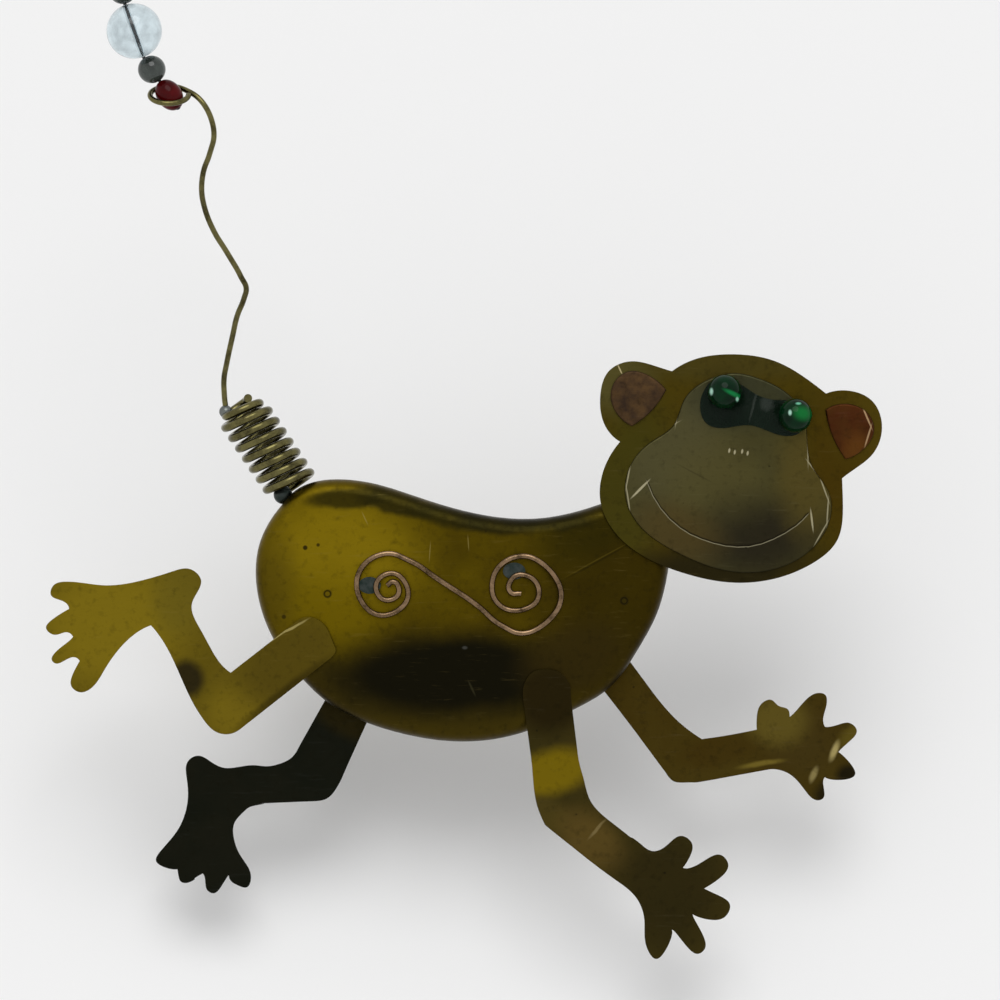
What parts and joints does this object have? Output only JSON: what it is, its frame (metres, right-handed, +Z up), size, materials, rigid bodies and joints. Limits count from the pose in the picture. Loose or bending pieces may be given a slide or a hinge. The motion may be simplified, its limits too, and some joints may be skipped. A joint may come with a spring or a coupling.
{
  "type": "hanging monkey ornament",
  "caption": "Flat running monkey cut from sheet brass, hung by a coiled wire tail from a short string of beads.",
  "frame": {"origin": "middle of the hanging loop at the top of the bead string", "axes": "+Z up along the string, +Y away from the viewer, so the monkey's marked flank faces -Y and its head is towards +X"},
  "size_m": [0.1222, 0.014, 0.186],
  "materials": {
    "body_brass": "worn satin brass with brown tarnish",
    "plate_brass": "worn satin brass with brown tarnish",
    "nickel_silver": "dull nickel silver, lightly rubbed",
    "copper": "dull oxidised copper",
    "copper_wire": "bright copper wire, browned in the hollows",
    "green_glass": "clear green glass",
    "clear_glue": "clear set glue",
    "solder": "soft grey solder",
    "brass_wire": "worn brass wire",
    "red_glass": "clear red glass",
    "dark_glass": "dark blue-black glass",
    "clear_glass": "clear colourless glass",
    "dark_wire": "blackened iron wire"
  },
  "bodies": {
    "strand": {"bead_wire": "dark_wire"},
    "upper_dark": {"upper_dark_bead": "dark_glass"},
    "clear": {"clear_bead": "clear_glass"},
    "lower_dark": {"lower_dark_bead": "dark_glass"},
    "red": {"red_bead": "red_glass"},
    "tail": {"tail_wire": "brass_wire", "tail_solder": "solder", "tail_coil": "brass_wire"},
    "monkey": {"body_front_shell": "body_brass", "body_back_shell": "body_brass", "head_plate": "plate_brass", "face_plate": "nickel_silver", "left_ear_inlay": "copper", "right_ear_inlay": "copper", "left_eye_bead": "green_glass", "right_eye_bead": "green_glass", "eye_glue": "clear_glue", "near_hind_leg": "plate_brass", "far_hind_leg": "plate_brass", "near_foreleg": "plate_brass", "far_foreleg": "plate_brass", "leg_solder": "solder", "neck_solder": "solder", "flank_scroll": "copper_wire", "scroll_solder": "solder", "coil_solder": "solder"}
  },
  "joints": [
    {"name": "upper_dark_spin", "type": "hinge", "parent": "strand", "child": "upper_dark", "pos_m": [0.00296, 0, -0.02163], "axis": [0.4226, 0, 0.9063], "continuous": true},
    {"name": "clear_spin", "type": "hinge", "parent": "strand", "child": "clear", "pos_m": [0.00105, 0, -0.0274], "axis": [0.2588, 0, 0.9659], "continuous": true},
    {"name": "lower_dark_spin", "type": "hinge", "parent": "strand", "child": "lower_dark", "pos_m": [0, 0, -0.03336], "axis": [0, 0, 1], "continuous": true},
    {"name": "red_spin", "type": "hinge", "parent": "strand", "child": "red", "pos_m": [0, 0, -0.03781], "axis": [0, 0, 1], "continuous": true},
    {"name": "tail_swing", "type": "hinge", "parent": "red", "child": "tail", "pos_m": [0, 0, -0.03781], "axis": [0, 1, 0], "range_deg": [-30, 15]},
    {"name": "coil_bend", "type": "hinge", "parent": "tail", "child": "monkey", "pos_m": [-0.01718, 0, -0.0867], "axis": [0, 1, 0], "range_deg": [-20, 20], "stiffness_Nm_per_rad": 0.0491, "springref_deg": -5.83, "deforming": ["tail_coil"]}
  ]
}
